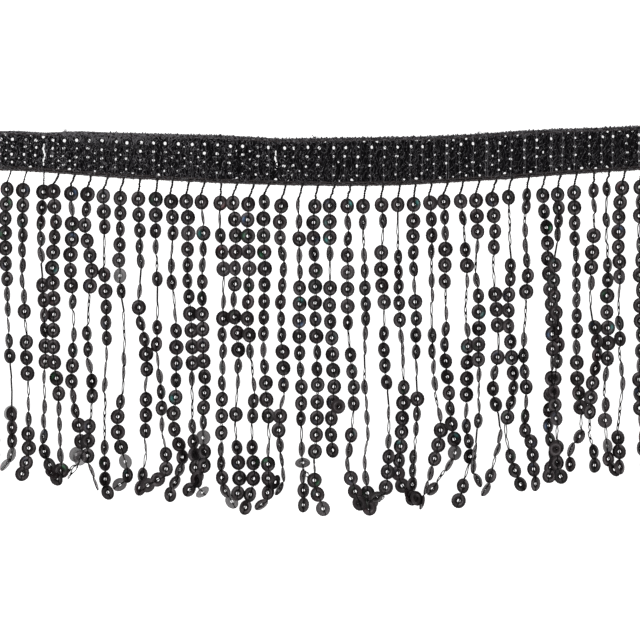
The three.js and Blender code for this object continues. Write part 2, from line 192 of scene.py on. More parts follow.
def smooth_path(points, step):
    """A smooth line through the points, with points about step apart."""
    p = np.asarray(points, float)
    p = np.vstack([2 * p[0] - p[1], p, 2 * p[-1] - p[-2]])
    out = []
    for i in range(1, len(p) - 2):
        a, b, c, d = p[i - 1:i + 3]
        m = max(2, int(np.linalg.norm(c - b) / step))
        t = np.linspace(0, 1, m, endpoint=False)[:, None]
        out.append(0.5 * ((2 * b) + (c - a) * t + (2 * a - 5 * b + 4 * c - d) * t ** 2
                          + (3 * b - a - 3 * c + d) * t ** 3))
    out.append(p[-2][None])
    return np.vstack(out)


def spaced(path, count, marks):
    """count points along the path, even between the marks, and the way there."""
    seg = np.linalg.norm(np.diff(path, axis=0), axis=1)
    s = np.concatenate([[0], np.cumsum(seg)])
    known = [(3 * (i + 1), m) for i, m in enumerate(marks) if 3 * (i + 1) < count - 1]
    known = [(0, 0.0)] + known + [(count - 1, s[-1])]
    want = np.interp(np.arange(count), [k for k, _ in known], [m for _, m in known])
    pts = np.stack([np.interp(want, s, path[:, k]) for k in range(path.shape[1])], 1)
    eps = 1.5
    ahead = np.stack([np.interp(np.minimum(want + eps, s[-1]), s, path[:, k]) for k in range(path.shape[1])], 1)
    behind = np.stack([np.interp(np.maximum(want - eps, 0), s, path[:, k]) for k in range(path.shape[1])], 1)
    return pts, unit(ahead - behind)


def new_object(name, verts, faces, material, smooth=True, floats=None, colours=None):
    """A mesh object from arrays in millimetres."""
    mesh = bpy.data.meshes.new(name)
    verts = np.asarray(verts, float) * MM
    faces = np.asarray(faces, int)
    mesh.from_pydata(verts.tolist(), [], faces.tolist())
    for key, values in (floats or {}).items():
        at = mesh.attributes.new(key, "FLOAT", "POINT")
        at.data.foreach_set("value", np.asarray(values, np.float32))
    for key, values in (colours or {}).items():
        at = mesh.attributes.new(key, "FLOAT_COLOR", "POINT")
        at.data.foreach_set("color", np.asarray(values, np.float32).ravel())
    if smooth:
        mesh.polygons.foreach_set("use_smooth", np.ones(len(mesh.polygons), bool))
    mesh.materials.append(material)
    mesh.update()
    obj = bpy.data.objects.new(name, mesh)
    bpy.context.scene.collection.objects.link(obj)
    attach(obj, "root")
    return obj


def tubes(paths, radius, sides=5):
    """Round strands along paths, an array of (strands, points, 3)."""
    p = np.asarray(paths, float)
    n, m = p.shape[:2]
    t = np.empty_like(p)
    t[:, 1:-1] = p[:, 2:] - p[:, :-2]
    t[:, 0] = p[:, 1] - p[:, 0]
    t[:, -1] = p[:, -1] - p[:, -2]
    t = unit(t)
    r = np.broadcast_to(np.asarray(radius, float), (n, m)) if np.ndim(radius) < 2 else radius
    start = np.where(np.abs(t[:, 0, 2:3]) > 0.9, [[1.0, 0, 0]], [[0, 0, 1.0]])
    side = np.empty_like(p)
    side[:, 0] = unit(np.cross(t[:, 0], start))
    for k in range(1, m):
        s = side[:, k - 1] - np.sum(side[:, k - 1] * t[:, k], 1, keepdims=True) * t[:, k]
        side[:, k] = unit(s)
    up = np.cross(side, t)
    a = np.arange(sides) * 2 * math.pi / sides
    ring = side[:, :, None, :] * np.cos(a)[None, None, :, None] + up[:, :, None, :] * np.sin(a)[None, None, :, None]
    verts = p[:, :, None, :] + ring * r[:, :, None, None]
    base = (np.arange(n) * m * sides)[:, None, None]
    i = (np.arange(m - 1) * sides)[None, :, None]
    j = np.arange(sides)[None, None, :]
    j2 = (j + 1) % sides
    a0 = base + i + j
    b0 = base + i + j2
    faces = np.stack([a0, b0, b0 + sides, a0 + sides], -1).reshape(-1, 4)
    return verts.reshape(-1, 3), faces


class Heap:
    """Joins many small meshes of four-sided faces into one."""

    def __init__(self):
        self.v, self.f, self.extra, self.n = [], [], {}, 0

    def add(self, v, f, **extra):
        self.v.append(v)
        self.f.append(np.asarray(f) + self.n)
        for key, value in extra.items():
            value = np.asarray(value, float)
            if value.ndim == 0 or value.shape[0] != len(v):
                value = np.broadcast_to(value, (len(v),) + value.shape)
            self.extra.setdefault(key, []).append(value)
        self.n += len(v)

    def arrays(self):
        return np.vstack(self.v), np.vstack(self.f), {k: np.concatenate(x) for k, x in self.extra.items()}


# ---- materials --------------------------------------------------------------
def node_material(name):
    mat = bpy.data.materials.new(name)
    mat.use_nodes = True
    nt = mat.node_tree
    nt.nodes.clear()
    out = nt.nodes.new("ShaderNodeOutputMaterial")
    bsdf = nt.nodes.new("ShaderNodeBsdfPrincipled")
    nt.links.new(bsdf.outputs[0], out.inputs[0])
    return mat, nt, bsdf


def texture(nt, kind, **values):
    node = nt.nodes.new(kind)
    for key, value in values.items():
        node.inputs[key].default_value = value
    return node


def coords(nt):
    return nt.nodes.new("ShaderNodeTexCoord").outputs["Object"]


def mixed(nt, factor, a, b, blend="MIX"):
    node = nt.nodes.new("ShaderNodeMix")
    node.data_type = "RGBA"
    node.blend_type = blend
    for socket, value in ((node.inputs[0], factor), (node.inputs[6], a), (node.inputs[7], b)):
        if hasattr(value, "links"):
            nt.links.new(value, socket)
        elif np.ndim(value):
            socket.default_value = tuple(value) + (1,) * (4 - len(value))
        else:
            socket.default_value = value
    return node.outputs[2]


def ramp(nt, source, stops):
    node = nt.nodes.new("ShaderNodeMapRange")
    nt.links.new(source, node.inputs[0])
    for i, value in enumerate(stops):
        node.inputs[1 + i].default_value = value
    return node.outputs[0]


def bump(nt, bsdf, height, strength, distance):
    node = nt.nodes.new("ShaderNodeBump")
    node.inputs["Strength"].default_value = strength
    node.inputs["Distance"].default_value = distance
    nt.links.new(height, node.inputs["Height"])
    nt.links.new(node.outputs[0], bsdf.inputs["Normal"])


def sequin_material():
    """Black plastic film with a pressed ring, faint scuffs and a rare painted sheen; its colour attribute also carries
    painted paleness on steeply turned film.
    """
    mat, nt, bsdf = node_material("sequin_film")
    at = nt.nodes.new("ShaderNodeAttribute")
    at.attribute_name = "film"
    xyz = coords(nt)
    scuff = texture(nt, "ShaderNodeTexNoise", Scale=900.0, Detail=3.0, Roughness=0.6)
    nt.links.new(xyz, scuff.inputs["Vector"])
    cloud = texture(nt, "ShaderNodeTexNoise", Scale=160.0, Detail=2.0)
    nt.links.new(xyz, cloud.inputs["Vector"])
    colour = mixed(nt, ramp(nt, cloud.outputs[0], (0.35, 0.7, 0.0, 1.0)), at.outputs["Color"],
                   mixed(nt, 0.4, at.outputs["Color"], (0.030, 0.022, 0.022)))
    nt.links.new(colour, bsdf.inputs["Base Color"])
    nt.links.new(at.outputs["Alpha"], bsdf.inputs["Alpha"])
    nt.links.new(ramp(nt, scuff.outputs[0], (0.3, 0.75, 0.2, 0.42)), bsdf.inputs["Roughness"])
    bsdf.inputs["IOR"].default_value = 1.52
    bsdf.inputs["Specular Tint"].default_value = (1.0, 0.915, 0.945, 1.0)
    gloss = nt.nodes.new("ShaderNodeAttribute")
    gloss.attribute_name = "gloss"
    nt.links.new(gloss.outputs["Fac"], bsdf.inputs["Specular IOR Level"])
    bump(nt, bsdf, cloud.outputs[0], 0.25, 0.0001)
    return mat


def yarn_material(name, dark, light, rough, scale, strength):
    """Fuzzy yarn: its tone varies along and across the strand."""
    mat, nt, bsdf = node_material(name)
    at = nt.nodes.new("ShaderNodeAttribute")
    at.attribute_name = "tone"
    xyz = coords(nt)
    grain = texture(nt, "ShaderNodeTexNoise", Scale=scale, Detail=4.0, Roughness=0.7)
    nt.links.new(xyz, grain.inputs["Vector"])
    own = mixed(nt, at.outputs["Fac"], dark, light)
    colour = mixed(nt, ramp(nt, grain.outputs[0], (0.3, 0.72, 0.0, 1.0)),
                   mixed(nt, 0.55, own, (0.004, 0.004, 0.004)), own)
    nt.links.new(colour, bsdf.inputs["Base Color"])
    bsdf.inputs["Roughness"].default_value = rough
    bsdf.inputs["Sheen Weight"].default_value = 0.02
    bsdf.inputs["Sheen Roughness"].default_value = 0.5
    bsdf.inputs["Specular IOR Level"].default_value = 0.08
    bump(nt, bsdf, grain.outputs[0], strength, 0.0002)
    return mat


film = sequin_material()
thread_mat = yarn_material("string_thread", (0.008, 0.007, 0.007), (0.045, 0.041, 0.042), 0.75, 2600.0, 0.5)
yarn_mat = yarn_material("band_yarn", (0.0062, 0.0058, 0.0070), (0.125, 0.116, 0.130), 0.95, 2100.0, 0.9)
fuzz_mat = yarn_material("yarn_fuzz", (0.020, 0.019, 0.0215), (0.40, 0.385, 0.41), 0.9, 1500.0, 0.3)
cord_mat = yarn_material("selvedge_yarn", (0.040, 0.031, 0.031), (0.190, 0.160, 0.160), 0.9, 2400.0, 0.8)


def cloth_material():
    """The knitted ground: dark, matte, with rows of stitches and loose fibre."""
    mat, nt, bsdf = node_material("band_ground")
    xyz = coords(nt)
    wave = texture(nt, "ShaderNodeTexWave", Scale=310.0, Distortion=4.0, Detail=2.0)
    wave.bands_direction = "X"
    nt.links.new(xyz, wave.inputs["Vector"])
    fibre = texture(nt, "ShaderNodeTexNoise", Scale=2600.0, Detail=5.0, Roughness=0.75)
    nt.links.new(xyz, fibre.inputs["Vector"])
    ground = mixed(nt, wave.outputs["Fac"], (0.0034, 0.0032, 0.0038), (0.0098, 0.0090, 0.0108))
    colour = mixed(nt, ramp(nt, fibre.outputs[0], (0.58, 0.75, 0.0, 1.0)), ground, (0.045, 0.042, 0.048))
    nt.links.new(colour, bsdf.inputs["Base Color"])
    bsdf.inputs["Roughness"].default_value = 0.95
    bsdf.inputs["Specular IOR Level"].default_value = 0.05
    bsdf.inputs["Sheen Weight"].default_value = 0.02
    bump(nt, bsdf, wave.outputs["Fac"], 0.8, 0.0003)
    return mat


cloth_mat = cloth_material()


# ---- one sequin: a thin ring with a raised bead -----------------------------
SEG = 16
PROFILE = np.array([
    (HOLE_R + 0.06, 0.00), (1.45, 0.00), (1.85, 0.15), (2.10, 0.16), (2.55, 0.01), (SEQUIN_R - 0.05, 0.0),
    (SEQUIN_R, -0.5 * FILM), (SEQUIN_R - 0.05, -FILM), (1.95, -FILM + 0.15), (HOLE_R + 0.06, -FILM), (HOLE_R, -0.5 * FILM)])
ANG = np.arange(SEG) * 2 * math.pi / SEG
RING_R = np.repeat(PROFILE[:, 0], SEG)
RING_A = np.tile(ANG, len(PROFILE))
RING = np.stack([RING_R * np.cos(RING_A), RING_R * np.sin(RING_A), np.repeat(PROFILE[:, 1], SEG)], 1)
_i = np.arange(len(PROFILE))[:, None] * SEG
_i2 = ((np.arange(len(PROFILE)) + 1) % len(PROFILE))[:, None] * SEG
_j = np.arange(SEG)[None, :]
_j2 = (_j + 1) % SEG
RING_F = np.stack([_i + _j, _i2 + _j, _i2 + _j2, _i + _j2], -1).reshape(-1, 4)


def ring_mesh(c, side, along, face, cup=0.0, shut=1.0, wide=1.0):
    """The ring at c, with its own axes, slightly bowed by cup; shut is how far
    its hole stays open where the threads drag its edge in, and wide scales all
    of it but the hole."""
    local = RING.copy()
    local[RING_R > 0.9, :2] *= wide
    local[RING_R < 0.9, :2] *= shut
    local[:, 2] += cup * local[:, 0] ** 2
    return c + local[:, :1] * side + local[:, 1:2] * along + local[:, 2:3] * face


RING_GLOSS = np.interp(RING_R, (HOLE_R, 1.35, 1.75, 2.2, 2.6, SEQUIN_R), (0.10, 0.18, 0.56, 0.58, 0.33, 0.38))


def film_tint_and_painted_light(smoky, painted_sheen, turn=0.0):
    """Colour and opacity over one ring, with painted light: steeply turned film is painted paler as a painted
    reflection, and some rings get a painted coloured sheen.
    """
    tint = np.array([0.0100, 0.0080, 0.0086]) * rng.uniform(0.6, 1.35)
    tint = tint * (1 + np.array([0.30, 0.0, 0.08]) * rng.normal(0, 0.6))
    # Painted reflection: the more steeply the film is turned, the paler its colour.
    steep = np.clip((math.sin(turn) - 0.84) / 0.14, 0, 1)
    tint = tint + np.array([0.084, 0.074, 0.077]) * steep * rng.uniform(0.5, 1.3)
    alpha = 1.0 - rng.uniform(0.0, 0.022)
    if smoky:
        tint = np.array([0.040, 0.034, 0.037]) * rng.uniform(0.8, 1.2)
        alpha = 1.0 - smoky
    out = np.empty((len(RING), 4))
    # Darker towards the hole on flat film; on steeply turned film the painted paleness is strongest there.
    out[:, :3] = tint * np.interp(RING_R, (1.3, 1.8), (0.65 + 0.9 * steep, 1.0))[:, None]
    out[:, 3] = alpha
    # Painted sheen: a coloured glint painted into the colour, on the listed sequins and at random on about a fifth of
    # the rest.
    hues = list(PAINTED_SHEEN_COLOURS)
    if painted_sheen is None and rng.random() < 0.2:
        painted_sheen = (hues[rng.integers(4)], rng.uniform(0, 360), rng.uniform(0.08, 0.22))
    if painted_sheen is not None:
        hue, bearing, strength = painted_sheen
        d = np.cos(RING_A - math.radians(bearing))
        painted_sheen_mask = 0.16 * np.clip((d - 0.2) / 0.7, 0, 1) * np.interp(RING_R, (0.9, 1.5, 2.4, 3.0), (0.2, 1.0, 0.8, 0.0))
        painted_sheen_mask += 1.1 * np.clip((d - 0.85) / 0.13, 0, 1) * np.interp(RING_R, (1.35, 1.75, 2.15, 2.6), (0.0, 1.0, 0.6, 0.0))
        painted_sheen_mask *= strength
        out[:, :3] += painted_sheen_mask[:, None] * np.array(PAINTED_SHEEN_COLOURS[hue])
    return out


# ---- the strings ------------------------------------------------------------
sequins = []      # one row for each sequin: string, number, middle, axes
stations = []     # every place along each string, bare ones too
for si, row in enumerate(STRINGS):
    first, deep, sways, (bx, by, tx, ty), marks, turns = row[0], row[1], row[2:8], row[8:12], row[12:18], row[18]
    root = FIRST_ROOT + si * PITCH
    low = low_at(root)
    pts = [(root + first, low - deep)]
    for k, s in enumerate(sways):
        pts.append((root + s, -(LINE_FIRST + k * LINE_STEP)))
    if by > LINE_FIRST + 5 * LINE_STEP + 2:
        pts.append((root + bx, -by))
    elif by < LINE_FIRST + 5 * LINE_STEP - 2:
        pts.pop()
    pts.append((root + tx, -ty))
    pts = np.array(pts) + np.array([0, MIDDLE_Y])
    places, way = spaced(smooth_path(pts, 0.7), len(turns), marks)
    sign = 1
    here = []
    for k, (p, w, turn) in enumerate(zip(places, way, turns)):
        p = p + rng.normal(0, 0.08, 2)
        lean = rng.normal(0, 0.05)
        w = np.array([w[0] * math.cos(lean) - w[1] * math.sin(lean),
                      w[0] * math.sin(lean) + w[1] * math.cos(lean)])
        along = np.array([-w[0], -w[1], 0.0])          # up the string
        across = np.array([along[1], -along[0], 0.0])
        if turn in ".:":
            here.append(dict(kind="bare", tight=turn == ":", c=np.array([p[0], p[1], 0.5]), along=along,
                             side=across, face=np.array([0, 0, 1.0])))
            continue
        if rng.random() < 0.35:
            sign = -sign
        angle = math.radians(max(2.0, TURN[turn] + rng.normal(0, 3.5))) * sign
        pitch = rng.normal(0, 0.045)
        about = along if turn == "h" else across
        face = np.array([0, 0, 1.0]) * math.cos(angle) + about * math.sin(angle)
        face = unit(face + along * pitch)
        along3 = unit(along - np.dot(along, face) * face)
        side = np.cross(along3, face)
        bow = rng.choice((-1, 1)) * rng.uniform(0.3, 1.2)
        reach = -ring_mesh(0.0, side, along3, face, 0.022 * bow)[:, 2].min()
        c = np.array([p[0], p[1], reach + 0.03])
        item = dict(kind="sequin", c=c, along=along3, side=side, face=face,
                    string=si, number=k, turn=abs(angle), bow=bow)
        here.append(item)
        sequins.append(item)
    stations.append(here)

for x, deep, turn, lean, clear, under in LOOSE:
    lean, turn = math.radians(lean), math.radians(turn)
    along = np.array([math.sin(lean), math.cos(lean), 0.0])
    across = np.array([along[1], -along[0], 0.0])
    face = unit(np.array([0, 0, 1.0]) * math.cos(turn) + across * math.sin(turn))
    side = np.cross(along, face)
    reach = -ring_mesh(0.0, side, along, face, 0.012)[:, 2].min()
    near = min(range(len(STRINGS)), key=lambda i: abs(FIRST_ROOT + i * PITCH - x))
    sequins.insert(0 if under else len(sequins), dict(
        kind="sequin", c=np.array([x, MIDDLE_Y - deep, reach + 0.03]), along=along, side=side, face=face,
        string=near, number=-1, turn=turn, bow=0.5, clear=clear))

# Where sequins lie over each other, the later one rests on the earlier.
rim_a = np.arange(16) * 2 * math.pi / 16
cell = {}
for item in sequins:
    c, face = item["c"], item["face"]
    rim = np.vstack([c + r * (np.cos(rim_a)[:, None] * item["side"] + np.sin(rim_a)[:, None] * item["along"])
                     for r in (SEQUIN_R, 1.6)])
    key = (int(c[0] // 7), int(c[1] // 7))
    lift = 0.0
    for gx in (-1, 0, 1):
        for gy in (-1, 0, 1):
            for other in cell.get((key[0] + gx, key[1] + gy), ()):
                oc, of, orim = other["c"], other["face"], other["rim"]
                if np.hypot(*(oc[:2] - c[:2])) > 2 * SEQUIN_R:
                    continue
                for pts3, pc, pf, sgn in ((rim, oc, of, 1), (orim, c, face, -1)):
                    if abs(pf[2]) < 0.4:
                        continue
                    d = pts3 - pc
                    z = pc[2] - (pf[0] * d[:, 0] + pf[1] * d[:, 1]) / pf[2]
                    flat = np.sqrt(d[:, 0] ** 2 + d[:, 1] ** 2 + (z - pc[2]) ** 2)
                    inside = flat < SEQUIN_R
                    if not inside.any():
                        continue
                    gap = sgn * (pts3[inside, 2] - z[inside])
                    lift = max(lift, 0.22 - gap.min())
    lift = min(lift, 2.6)
    if lift > 0:
        item["c"] = c + np.array([0, 0, lift])
        rim = rim + np.array([0, 0, lift])
    item["rim"] = rim
    cell.setdefault(key, []).append(item)

# The painted sheen glint of each listed sequin, and each ring's colour with its painted light.
painted_sheen_of = {(s, n): (hue, bearing, strength) for s, n, hue, bearing, strength in PAINTED_SHEEN}
groups = [("sequins_left", 0, 14), ("sequins_middle", 14, 29), ("sequins_right", 29, len(STRINGS))]
fringe_pieces = []
for name, a, b in groups:
    heap = Heap()
    for item in sequins:
        if a <= item["string"] < b:
            key = (item["string"], item["number"])
            shut = np.interp(math.degrees(item["turn"]), (52, 60, 66, 74), (1.0, 0.85, 0.45, 0.10))
            v = ring_mesh(item["c"], item["side"], item["along"], item["face"], 0.022 * item["bow"], shut)
            heap.add(v, RING_F, gloss=np.maximum(RING_GLOSS, 0.45 * np.clip((math.sin(item["turn"]) - 0.84) / 0.1, 0, 1)),
                     film=film_tint_and_painted_light(SMOKY.get(key, item.get("clear", 0)), painted_sheen_of.get(key), item["turn"]))
    v, f, extra = heap.arrays()
    obj = new_object(name, v, f, film, floats={"gloss": extra["gloss"]}, colours={"film": extra["film"]})
    fringe_pieces.append(obj)

# Two threads weave through each string's holes, one before and one behind.
heap = Heap()
for si, here in enumerate(stations):
    # How the two lie: across a hole, and where bare either drawn tight
    # together or apart, with a knot here and there.
    style = []
    for it in here:
        style.append((rng.uniform(-0.30, 0.30), rng.choice((-1, 1, 1)) * rng.uniform(0.2, 0.45), it.get("tight"),
                      rng.uniform(0.26, 0.52), rng.uniform(0.26, 0.52), rng.random() < 0.35))
    for ply in (1, -1):
        s = ply
        pts = []
        for k, it in enumerate(here):
            c, al, sd, fc = it["c"], it["along"], it["side"], it["face"]
            q, shift, tight, w1, w2, knot = style[k]
            if it["kind"] == "sequin":
                h = shift if it["turn"] > 0.66 else 0.0
                for way, fore, wide, r in ((3.0, 0.12, 0.30, 1.0), (1.2, 0.30, 0.14, 1.0), (h + 0.40, 0.16, 0.14 + s * q, 0.85),
                                           (h - 0.40, -0.16, 0.10 + s * q, 0.85), (-1.2, -0.30, -0.10, 1.0), (-3.0, -0.12, -0.30, 1.0)):
                    pts.append(np.append(c + al * way + s * fc * fore + s * sd * wide, (THREAD_R * r, 0.18)))
                s = -s
            elif tight:
                for way, off in ((2.7, 0.17), (1.0, 0.18), (-1.0, 0.18), (-2.7, 0.17)):
                    pts.append(np.append(c + al * way + s * sd * off, (1.1 * THREAD_R, 0.9)))
            else:
                for way, off, r in ((2.6, 0.20, 1.1), (0.9, w1, 1.0), (0.0, 0.12 if knot else 0.5 * (w1 + w2), 2.0 if knot else 1.0),
                                    (-0.9, w2, 1.0), (-2.6, 0.18, 1.1)):
                    pts.append(np.append(c + al * way + s * sd * off, (r * THREAD_R, 0.3)))
        path = smooth_path(np.array(pts), 1.15)
        path[:, 2] = np.maximum(path[:, 2], path[:, 3] + 0.02)
        v, f = tubes(path[None, :, :3], path[None, :, 3], 4)
        tone = np.repeat(np.clip(path[:, 4] + 0.2 * np.sin(np.arange(len(path)) * 0.9) + rng.normal(0, 0.08, len(path)), 0, 1), 4)
        heap.add(v, f, tone=tone)
for x0, d0, x1, d1 in SLACK:
    for ply in (1, -1):
        k = np.linspace(0, 1, 24)
        off = ply * 0.75 * np.sin(math.pi * k) ** 0.6 * np.cos(k * 5.0 - 2.2)
        dx, dy = x1 - x0, d0 - d1
        n = math.hypot(dx, dy)
        path = np.column_stack([x0 + dx * k - off * dy / n, MIDDLE_Y - d0 + dy * k + off * dx / n, 0.4 + 0.5 * np.sin(math.pi * k)])
        r = 0.17 + 0.24 * np.exp(-((k - 0.30) / 0.05) ** 2) + 0.30 * np.exp(-((k - 0.72) / 0.05) ** 2)
        v, f = tubes(path[None], r[None], 5)
        heap.add(v, f, tone=0.1)
v, f, extra = heap.arrays()
threads = new_object("string_threads", v, f, thread_mat, floats={"tone": extra["tone"]})
fringe_pieces.append(threads)

# The bare twisted, fuzzy thread from the selvedge to each first sequin.
heap, hair = Heap(), Heap()
for si, here in enumerate(stations):
    it = here[0]
    root = FIRST_ROOT + si * PITCH
    low = low_at(root) + MIDDLE_Y
    head = it["c"] + it["along"] * 2.9 + np.array([0, 0, 0.1])
    start = np.array([root + 0.25, low + 0.8, 0.9])
    kink = 0.04 if si < 5 else 0.13
    line = [start]
    for k in np.linspace(0.12, 0.92, 7):
        q = (1 - k) * start + k * head + np.array([0.16 * math.sin(math.pi * k) * (si % 3 - 0.8), 0, 0])
        line.append(q + np.array([rng.normal(0, kink), 0, rng.normal(0, 0.08)]))
    path = smooth_path(line + [head, it["c"] + it["along"] * 1.2 + it["face"] * 0.25], 0.33)
    n = len(path)
    t = unit(np.gradient(path, axis=0))
    sd = unit(np.cross(t, [0, 0, 1.0]))
    up = np.cross(sd, t)
    s = np.arange(n) * 0.33
    thin = 0.70 if si < 5 else 1.0
    knots = 1 + 0.35 * np.clip(np.sin(s * 2.1 + si * 1.7), 0, 1) * rng.uniform(0.2, 1.0)
    for ply in (0, 1):
        a = s * 2 * math.pi / 1.45 + ply * math.pi
        off = (np.cos(a)[:, None] * sd + np.sin(a)[:, None] * up) * 0.26 * thin
        r = 0.28 * thin * knots * (1 + 0.5 * np.exp(-s / 0.8))
        v, f = tubes((path + off)[None], r[None], 6)
        # Painted light and shade: each ply's tone is paler where the twist brings it on top and darker where it lies
        # beneath.
        heap.add(v, f, tone=np.repeat(np.clip(0.32 + 0.34 * np.sin(a) + rng.normal(0, 0.10, n), 0, 1), 6))
    for sgn in (-1, 1):
        leg = smooth_path([(root + sgn * 0.95, low + 0.35, 0.8), (root + 0.2 + sgn * 0.35, low - 0.15, 0.8),
                           path[4] + (0, 0, 0.05)], 0.4)
        v, f = tubes(leg[None], 0.2 * thin, 5)
        heap.add(v, f, tone=0.15)
    for _ in range(18):
        k = rng.integers(1, n - 2)
        d = unit(rng.normal(0, 1, 3) * np.array([1, 0.6, 0.5]))
        q = path[k] + d * 0.2
        hook = unit(np.cross(d, t[k]) + rng.normal(0, 0.4, 3))
        ln = rng.uniform(0.35, 0.9)
        pts = np.stack([q, q + d * ln * 0.5 + hook * 0.05, q + d * ln * 0.8 + hook * 0.25])
        pts[:, 2] = np.maximum(pts[:, 2], 0.05)
        v, f = tubes(pts[None], np.array([[0.05, 0.045, 0.02]]), 3)
        hair.add(v, f, tone=rng.uniform(0.1, 0.6))
# Loose fibres here and there along the strings.
for _ in range(150):
    here = stations[rng.integers(len(stations))]
    it = here[rng.integers(len(here))]
    d = unit(rng.normal(0, 1, 3) * np.array([1, 0.5, 0.3]))
    d[2] = abs(d[2]) * 0.5
    q = it["c"] + it["along"] * 3.3
    ln = rng.uniform(0.8, 2.2)
    bend = unit(rng.normal(0, 1, 3))
    pts = np.stack([q, q + d * ln * 0.4 + bend * 0.1, q + d * ln * 0.75 + bend * 0.3, q + d * ln + bend * 0.7])
    pts[:, 2] = np.maximum(pts[:, 2], 0.05)
    v, f = tubes(pts[None], np.array([[0.055, 0.05, 0.045, 0.02]]), 3)
    hair.add(v, f, tone=rng.uniform(0.1, 0.5))
v, f, extra = heap.arrays()
leads = new_object("top_threads", v, f, thread_mat, floats={"tone": extra["tone"]})
fringe_pieces.append(leads)
v, f, extra = hair.arrays()
strays = new_object("string_fuzz", v, f, fuzz_mat, floats={"tone": extra["tone"]})
fringe_pieces.append(strays)
for obj in fringe_pieces:
    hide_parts("fringe")

# ---- the band ---------------------------------------------------------------
X0, X1 = BAND[0, 0], BAND[-1, 0]
COLUMN = 5.330                     # sequin to sequin along the band
FIRST_COLUMN = -138.8
ROWS = (0.79, 0.60, 0.405, 0.195)  # sequin rows, up the band from its low edge
SLITS = ((-114.9, 0.20, 0.66, 0.33), (-18.3, 0.40, 0.64, 0.30))   # x, from, to, half width


def on_band(x, v):
    """The point at x, a share v of the way from the low to the top edge."""
    lo, hi = low_at(x), top_at(x)
    return np.stack([np.asarray(x, float), lo + v * (hi - lo) + MIDDLE_Y], -1)


columns = np.concatenate([[FIRST_COLUMN - 3.9], np.arange(FIRST_COLUMN, X1 - 1.5, COLUMN)])
columns = columns + rng.normal(0, 0.24, len(columns))
for x, _, _, w in SLITS:           # the sequins beside a slit stand apart
    near = np.abs(columns - x) < 0.75 * COLUMN
    columns[near] = x + np.sign(columns[near] - x) * np.maximum(np.abs(columns[near] - x), SEQUIN_R + 0.8 * w)

holes = []        # x, y, half width, half height, lean
splits = []       # holes with a thread down their middle
hazy = []         # holes that fibres close
heap = Heap()
for ci, x in enumerate(columns):
    for ri, v in enumerate(ROWS):
        p = on_band(x + rng.normal(0, 0.16) + 0.14 * (1.5 - ri), v + rng.normal(0, 0.008))
        tilt = math.radians(6.0 + rng.normal(0, 1.0))
        yaw = math.radians(2.4 + rng.normal(0, 1.0))
        face = unit(np.array([-math.sin(yaw), -math.sin(tilt), math.cos(tilt)]))
        along = unit(np.array([0.02 * rng.normal(), 1.0, 0]) - face * face[1])
        side = np.cross(along, face)
        c = np.array([p[0], p[1], 0.84])
        vv = ring_mesh(c, side, along, face, rng.normal(0, 0.006), wide=0.76)     # 5 mm ones
        heap.add(vv, RING_F, gloss=RING_GLOSS, film=film_tint_and_painted_light(0, None))
        u = rng.random()
        if ri == 0:
            a, b, lean = (0.56, 0.80, 0.45) if u < 0.8 else (0.38, 0.56, 0.5)
            if u > 0.93:
                splits.append((p[0], p[1], b))
        elif u < 0.31:
            a, b, lean = 0.86, 0.50, 0.0
            splits.append((p[0] + rng.normal(0, 0.12), p[1], b))
        elif u < 0.74:
            a, b, lean = rng.uniform(0.48, 0.66), rng.uniform(0.46, 0.70), rng.normal(0, 0.4)
        elif u < 0.90:
            a, b, lean = rng.uniform(0.34, 0.46), rng.uniform(0.34, 0.46), 0.0
        else:
            a, b, lean = 0.55, 0.42, 0.0
            if x > -95:
                hazy.append((p[0], p[1]))
        size = np.interp(x, (-105, -60, -30, 30, 60), (1.12, 1.08, 0.99, 0.91, 0.85))
        size *= (1.0, 0.96, 0.96, 0.76)[ri] * (0.86 if ri and x < -50 else 1.0)
        a, b = size * a, size * b
        holes.append((p[0], p[1], a * rng.uniform(0.9, 1.1), b * rng.uniform(0.9, 1.1), lean))
v, f, extra = heap.arrays()
band_sequins = new_object("band_sequins", v, f, film, floats={"gloss": extra["gloss"]}, colours={"film": extra["film"]})

# Small gaps in the ground between the sequins, and two drawn slits.
for ci in range(len(columns) - 1):
    xm = 0.5 * (columns[ci] + columns[ci + 1])
    right = np.interp(xm, (-30, 40), (0, 1))
    stack = 0.75 if rng.random() < 0.42 - 0.26 * right else 0.07
    for v, chance, a, b in ((0.905, 0.10 + 0.55 * right, 0.48, 0.36), (0.70, stack, 0.32, 0.40), (0.50, stack, 0.32, 0.42),
                            (0.30, stack, 0.34, 0.40), (0.097, 0.30 + 0.42 * right, 0.58, 0.40)):
        if rng.random() < chance:
            p = on_band(xm + rng.normal(0, 0.15), v + rng.normal(0, 0.010))
            wide = 1.5 if v < 0.1 and rng.random() < 0.3 else 1.0
            holes.append((p[0], p[1], wide * a * rng.uniform(0.75, 1.15), b * rng.uniform(0.75, 1.15), rng.normal(0, 0.3)))
for x, v in ((-131.2, 0.912), (-120.8, 0.903), (-115.2, 0.888)):     # wider ones by the top edge
    holes.append((x, on_band(x, v)[1], 0.62, 0.60, 0.3))
for x, lo, hi, w in SLITS:
    for k in np.linspace(lo, hi, 7):
        p = on_band(x + 0.35 * math.sin(k * 19), k)
        holes.append((p[0], p[1], w * rng.uniform(0.85, 1.1), 0.95, 0.0))
holes = np.array(holes)

